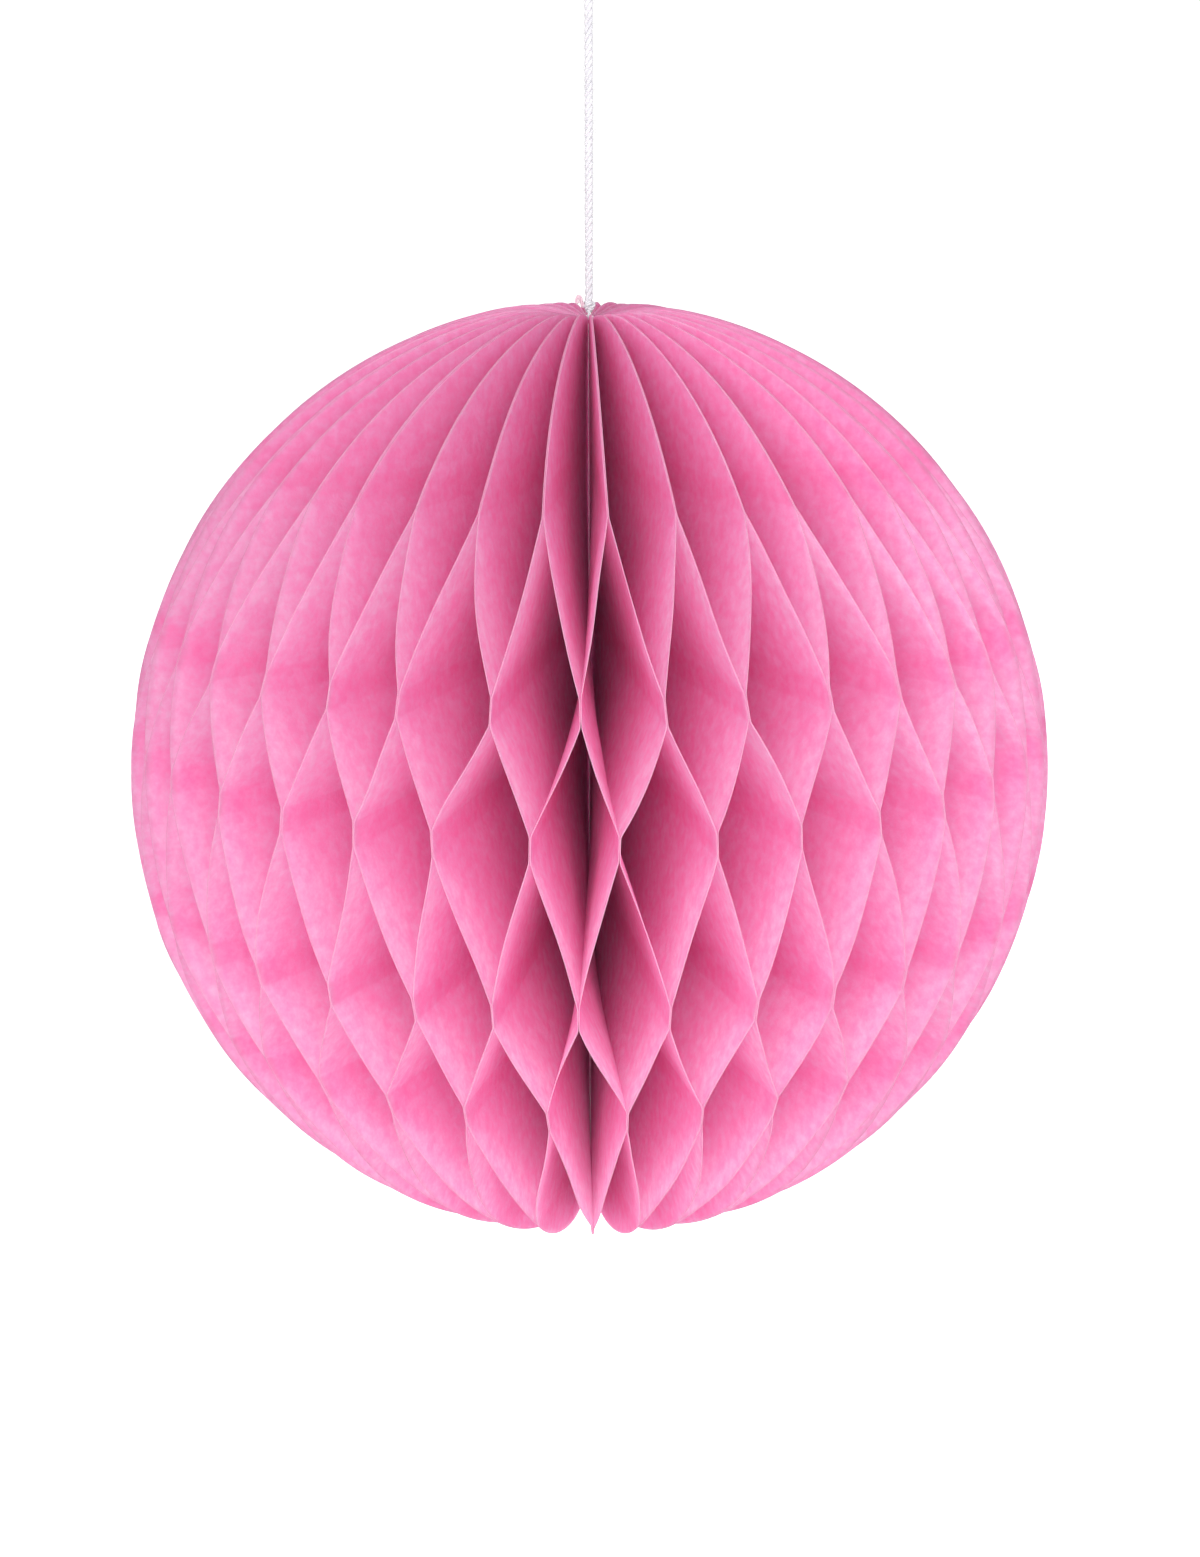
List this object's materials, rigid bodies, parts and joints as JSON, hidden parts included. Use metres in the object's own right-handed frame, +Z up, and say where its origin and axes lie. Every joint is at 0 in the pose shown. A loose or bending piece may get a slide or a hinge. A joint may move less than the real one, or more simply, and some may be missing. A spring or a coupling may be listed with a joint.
{
  "type": "paper honeycomb ball",
  "caption": "Round honeycomb ball of folded tissue half discs on a stitched spine, with card covers at the back and a hanging cord with a loop.",
  "frame": {"origin": "inner top of the hanging loop, where a hook bears", "axes": "+Z up along the cord and the ball's spine, -Y towards the front leaf, +X to the right seen from the front"},
  "size_m": [0.0998, 0.0998, 0.1542],
  "materials": {
    "tissue": "matt tissue",
    "card": "matt card",
    "sticky_pad": "matt foam",
    "thread": "cotton thread",
    "cord": "twisted cotton"
  },
  "bodies": {
    "hanging_cord": {"cord": "cord", "hang_loop": "cord", "loop_knot": "cord"},
    "pole_knot": {"pole_knot": "cord"},
    "spine_eye": {"spine_eye": "thread"},
    "leaf_front": {"leaf_front": "tissue", "spine_thread": "thread"},
    "leaf_right_01": {"leaf_right_01": "tissue"},
    "leaf_right_02": {"leaf_right_02": "tissue"},
    "leaf_right_03": {"leaf_right_03": "tissue"},
    "leaf_right_04": {"leaf_right_04": "tissue"},
    "leaf_right_05": {"leaf_right_05": "tissue"},
    "leaf_right_06": {"leaf_right_06": "tissue"},
    "leaf_right_07": {"leaf_right_07": "tissue"},
    "leaf_right_08": {"leaf_right_08": "tissue"},
    "leaf_right_09": {"leaf_right_09": "tissue"},
    "leaf_right_10": {"leaf_right_10": "tissue"},
    "leaf_right_11": {"leaf_right_11": "tissue"},
    "leaf_right_12": {"leaf_right_12": "tissue"},
    "leaf_right_13": {"leaf_right_13": "tissue"},
    "leaf_right_14": {"leaf_right_14": "tissue"},
    "leaf_right_15": {"leaf_right_15": "tissue"},
    "leaf_right_16": {"leaf_right_16": "tissue"},
    "leaf_right_17": {"leaf_right_17": "tissue"},
    "leaf_left_01": {"leaf_left_01": "tissue"},
    "leaf_left_02": {"leaf_left_02": "tissue"},
    "leaf_left_03": {"leaf_left_03": "tissue"},
    "leaf_left_04": {"leaf_left_04": "tissue"},
    "leaf_left_05": {"leaf_left_05": "tissue"},
    "leaf_left_06": {"leaf_left_06": "tissue"},
    "leaf_left_07": {"leaf_left_07": "tissue"},
    "leaf_left_08": {"leaf_left_08": "tissue"},
    "leaf_left_09": {"leaf_left_09": "tissue"},
    "leaf_left_10": {"leaf_left_10": "tissue"},
    "leaf_left_11": {"leaf_left_11": "tissue"},
    "leaf_left_12": {"leaf_left_12": "tissue"},
    "leaf_left_13": {"leaf_left_13": "tissue"},
    "leaf_left_14": {"leaf_left_14": "tissue"},
    "leaf_left_15": {"leaf_left_15": "tissue"},
    "leaf_left_16": {"leaf_left_16": "tissue"},
    "leaf_left_17": {"leaf_left_17": "tissue"},
    "cover_right": {"cover_right": "card", "end_sheet_right": "tissue"},
    "cover_left": {"cover_left": "card", "end_sheet_left": "tissue", "sticky_pads": "sticky_pad"}
  },
  "joints": [
    {"name": "spin", "type": "hinge", "parent": "hanging_cord", "child": "pole_knot", "pos_m": [0, 0, -0.05215], "axis": [0, 0, 1], "continuous": true},
    {"name": "swing_side", "type": "hinge", "parent": "pole_knot", "child": "spine_eye", "pos_m": [0, 0, -0.0536], "axis": [0, 1, 0], "range_deg": [-30, 30]},
    {"name": "swing_front", "type": "hinge", "parent": "spine_eye", "child": "leaf_front", "pos_m": [0, 0, -0.0545], "axis": [1, 0, 0], "range_deg": [-30, 30]},
    {"name": "fold", "type": "hinge", "parent": "leaf_front", "child": "leaf_right_01", "pos_m": [0.00013, -0.00149, -0.1028], "axis": [0, 0, -1], "range_deg": [0, 10], "deforming": ["leaf_front", "leaf_right_01"]},
    {"name": "fold_right_02", "type": "hinge", "parent": "leaf_right_01", "child": "leaf_right_02", "pos_m": [0.00039, -0.00144, -0.1028], "axis": [0, 0, -1], "range_deg": [0, 10], "deforming": ["leaf_right_02"]},
    {"name": "fold_right_03", "type": "hinge", "parent": "leaf_right_02", "child": "leaf_right_03", "pos_m": [0.00063, -0.00135, -0.1028], "axis": [0, 0, -1], "range_deg": [0, 10], "deforming": ["leaf_right_03"]},
    {"name": "fold_right_04", "type": "hinge", "parent": "leaf_right_03", "child": "leaf_right_04", "pos_m": [0.00086, -0.00122, -0.1028], "axis": [0, 0, -1], "range_deg": [0, 10], "deforming": ["leaf_right_04"]},
    {"name": "fold_right_05", "type": "hinge", "parent": "leaf_right_04", "child": "leaf_right_05", "pos_m": [0.00105, -0.00105, -0.1028], "axis": [0, 0, -1], "range_deg": [0, 10], "deforming": ["leaf_right_05"]},
    {"name": "fold_right_06", "type": "hinge", "parent": "leaf_right_05", "child": "leaf_right_06", "pos_m": [0.00122, -0.00086, -0.1028], "axis": [0, 0, -1], "range_deg": [0, 10], "deforming": ["leaf_right_06"]},
    {"name": "fold_right_07", "type": "hinge", "parent": "leaf_right_06", "child": "leaf_right_07", "pos_m": [0.00135, -0.00063, -0.1028], "axis": [0, 0, -1], "range_deg": [0, 10], "deforming": ["leaf_right_07"]},
    {"name": "fold_right_08", "type": "hinge", "parent": "leaf_right_07", "child": "leaf_right_08", "pos_m": [0.00144, -0.00039, -0.1028], "axis": [0, 0, -1], "range_deg": [0, 10], "deforming": ["leaf_right_08"]},
    {"name": "fold_right_09", "type": "hinge", "parent": "leaf_right_08", "child": "leaf_right_09", "pos_m": [0.00149, -0.00013, -0.1028], "axis": [0, 0, -1], "range_deg": [0, 10], "deforming": ["leaf_right_09"]},
    {"name": "fold_right_10", "type": "hinge", "parent": "leaf_right_09", "child": "leaf_right_10", "pos_m": [0.00149, 0.00013, -0.1028], "axis": [0, 0, -1], "range_deg": [0, 10], "deforming": ["leaf_right_10"]},
    {"name": "fold_right_11", "type": "hinge", "parent": "leaf_right_10", "child": "leaf_right_11", "pos_m": [0.00144, 0.00039, -0.1028], "axis": [0, 0, -1], "range_deg": [0, 10], "deforming": ["leaf_right_11"]},
    {"name": "fold_right_12", "type": "hinge", "parent": "leaf_right_11", "child": "leaf_right_12", "pos_m": [0.00135, 0.00063, -0.1028], "axis": [0, 0, -1], "range_deg": [0, 10], "deforming": ["leaf_right_12"]},
    {"name": "fold_right_13", "type": "hinge", "parent": "leaf_right_12", "child": "leaf_right_13", "pos_m": [0.00122, 0.00086, -0.1028], "axis": [0, 0, -1], "range_deg": [0, 10], "deforming": ["leaf_right_13"]},
    {"name": "fold_right_14", "type": "hinge", "parent": "leaf_right_13", "child": "leaf_right_14", "pos_m": [0.00105, 0.00105, -0.1028], "axis": [0, 0, -1], "range_deg": [0, 10], "deforming": ["leaf_right_14"]},
    {"name": "fold_right_15", "type": "hinge", "parent": "leaf_right_14", "child": "leaf_right_15", "pos_m": [0.00086, 0.00122, -0.1028], "axis": [0, 0, -1], "range_deg": [0, 10], "deforming": ["leaf_right_15"]},
    {"name": "fold_right_16", "type": "hinge", "parent": "leaf_right_15", "child": "leaf_right_16", "pos_m": [0.00063, 0.00135, -0.1028], "axis": [0, 0, -1], "range_deg": [0, 10], "deforming": ["leaf_right_16"]},
    {"name": "fold_right_17", "type": "hinge", "parent": "leaf_right_16", "child": "leaf_right_17", "pos_m": [0.00039, 0.00144, -0.1028], "axis": [0, 0, -1], "range_deg": [0, 10], "deforming": ["leaf_right_17"]},
    {"name": "fold_right_cover", "type": "hinge", "parent": "leaf_right_17", "child": "cover_right", "pos_m": [0.00033, 0.00377, -0.1028], "axis": [0, 0, -1], "range_deg": [0, 10], "deforming": ["end_sheet_right"]},
    {"name": "fold_left_01", "type": "hinge", "parent": "leaf_front", "child": "leaf_left_01", "pos_m": [-0.00013, -0.00149, -0.1028], "axis": [0, 0, 1], "range_deg": [0, 10], "deforming": ["leaf_left_01"]},
    {"name": "fold_left_02", "type": "hinge", "parent": "leaf_left_01", "child": "leaf_left_02", "pos_m": [-0.00039, -0.00144, -0.1028], "axis": [0, 0, 1], "range_deg": [0, 10], "deforming": ["leaf_left_02"]},
    {"name": "fold_left_03", "type": "hinge", "parent": "leaf_left_02", "child": "leaf_left_03", "pos_m": [-0.00063, -0.00135, -0.1028], "axis": [0, 0, 1], "range_deg": [0, 10], "deforming": ["leaf_left_03"]},
    {"name": "fold_left_04", "type": "hinge", "parent": "leaf_left_03", "child": "leaf_left_04", "pos_m": [-0.00086, -0.00122, -0.1028], "axis": [0, 0, 1], "range_deg": [0, 10], "deforming": ["leaf_left_04"]},
    {"name": "fold_left_05", "type": "hinge", "parent": "leaf_left_04", "child": "leaf_left_05", "pos_m": [-0.00105, -0.00105, -0.1028], "axis": [0, 0, 1], "range_deg": [0, 10], "deforming": ["leaf_left_05"]},
    {"name": "fold_left_06", "type": "hinge", "parent": "leaf_left_05", "child": "leaf_left_06", "pos_m": [-0.00122, -0.00086, -0.1028], "axis": [0, 0, 1], "range_deg": [0, 10], "deforming": ["leaf_left_06"]},
    {"name": "fold_left_07", "type": "hinge", "parent": "leaf_left_06", "child": "leaf_left_07", "pos_m": [-0.00135, -0.00063, -0.1028], "axis": [0, 0, 1], "range_deg": [0, 10], "deforming": ["leaf_left_07"]},
    {"name": "fold_left_08", "type": "hinge", "parent": "leaf_left_07", "child": "leaf_left_08", "pos_m": [-0.00144, -0.00039, -0.1028], "axis": [0, 0, 1], "range_deg": [0, 10], "deforming": ["leaf_left_08"]},
    {"name": "fold_left_09", "type": "hinge", "parent": "leaf_left_08", "child": "leaf_left_09", "pos_m": [-0.00149, -0.00013, -0.1028], "axis": [0, 0, 1], "range_deg": [0, 10], "deforming": ["leaf_left_09"]},
    {"name": "fold_left_10", "type": "hinge", "parent": "leaf_left_09", "child": "leaf_left_10", "pos_m": [-0.00149, 0.00013, -0.1028], "axis": [0, 0, 1], "range_deg": [0, 10], "deforming": ["leaf_left_10"]},
    {"name": "fold_left_11", "type": "hinge", "parent": "leaf_left_10", "child": "leaf_left_11", "pos_m": [-0.00144, 0.00039, -0.1028], "axis": [0, 0, 1], "range_deg": [0, 10], "deforming": ["leaf_left_11"]},
    {"name": "fold_left_12", "type": "hinge", "parent": "leaf_left_11", "child": "leaf_left_12", "pos_m": [-0.00135, 0.00063, -0.1028], "axis": [0, 0, 1], "range_deg": [0, 10], "deforming": ["leaf_left_12"]},
    {"name": "fold_left_13", "type": "hinge", "parent": "leaf_left_12", "child": "leaf_left_13", "pos_m": [-0.00122, 0.00086, -0.1028], "axis": [0, 0, 1], "range_deg": [0, 10], "deforming": ["leaf_left_13"]},
    {"name": "fold_left_14", "type": "hinge", "parent": "leaf_left_13", "child": "leaf_left_14", "pos_m": [-0.00105, 0.00105, -0.1028], "axis": [0, 0, 1], "range_deg": [0, 10], "deforming": ["leaf_left_14"]},
    {"name": "fold_left_15", "type": "hinge", "parent": "leaf_left_14", "child": "leaf_left_15", "pos_m": [-0.00086, 0.00122, -0.1028], "axis": [0, 0, 1], "range_deg": [0, 10], "deforming": ["leaf_left_15"]},
    {"name": "fold_left_16", "type": "hinge", "parent": "leaf_left_15", "child": "leaf_left_16", "pos_m": [-0.00063, 0.00135, -0.1028], "axis": [0, 0, 1], "range_deg": [0, 10], "deforming": ["leaf_left_16"]},
    {"name": "fold_left_17", "type": "hinge", "parent": "leaf_left_16", "child": "leaf_left_17", "pos_m": [-0.00039, 0.00144, -0.1028], "axis": [0, 0, 1], "range_deg": [0, 10], "deforming": ["leaf_left_17"]},
    {"name": "fold_left_cover", "type": "hinge", "parent": "leaf_left_17", "child": "cover_left", "pos_m": [-0.00033, 0.00377, -0.1028], "axis": [0, 0, 1], "range_deg": [0, 10], "deforming": ["end_sheet_left"]}
  ],
  "couplings": [
    {"joint": "fold_right_02", "follows": "fold", "ratio": 1},
    {"joint": "fold_right_03", "follows": "fold", "ratio": 1},
    {"joint": "fold_right_04", "follows": "fold", "ratio": 1},
    {"joint": "fold_right_05", "follows": "fold", "ratio": 1},
    {"joint": "fold_right_06", "follows": "fold", "ratio": 1},
    {"joint": "fold_right_07", "follows": "fold", "ratio": 1},
    {"joint": "fold_right_08", "follows": "fold", "ratio": 1},
    {"joint": "fold_right_09", "follows": "fold", "ratio": 1},
    {"joint": "fold_right_10", "follows": "fold", "ratio": 1},
    {"joint": "fold_right_11", "follows": "fold", "ratio": 1},
    {"joint": "fold_right_12", "follows": "fold", "ratio": 1},
    {"joint": "fold_right_13", "follows": "fold", "ratio": 1},
    {"joint": "fold_right_14", "follows": "fold", "ratio": 1},
    {"joint": "fold_right_15", "follows": "fold", "ratio": 1},
    {"joint": "fold_right_16", "follows": "fold", "ratio": 1},
    {"joint": "fold_right_17", "follows": "fold", "ratio": 1},
    {"joint": "fold_right_cover", "follows": "fold", "ratio": 1},
    {"joint": "fold_left_01", "follows": "fold", "ratio": 1},
    {"joint": "fold_left_02", "follows": "fold", "ratio": 1},
    {"joint": "fold_left_03", "follows": "fold", "ratio": 1},
    {"joint": "fold_left_04", "follows": "fold", "ratio": 1},
    {"joint": "fold_left_05", "follows": "fold", "ratio": 1},
    {"joint": "fold_left_06", "follows": "fold", "ratio": 1},
    {"joint": "fold_left_07", "follows": "fold", "ratio": 1},
    {"joint": "fold_left_08", "follows": "fold", "ratio": 1},
    {"joint": "fold_left_09", "follows": "fold", "ratio": 1},
    {"joint": "fold_left_10", "follows": "fold", "ratio": 1},
    {"joint": "fold_left_11", "follows": "fold", "ratio": 1},
    {"joint": "fold_left_12", "follows": "fold", "ratio": 1},
    {"joint": "fold_left_13", "follows": "fold", "ratio": 1},
    {"joint": "fold_left_14", "follows": "fold", "ratio": 1},
    {"joint": "fold_left_15", "follows": "fold", "ratio": 1},
    {"joint": "fold_left_16", "follows": "fold", "ratio": 1},
    {"joint": "fold_left_17", "follows": "fold", "ratio": 1},
    {"joint": "fold_left_cover", "follows": "fold", "ratio": 1}
  ]
}
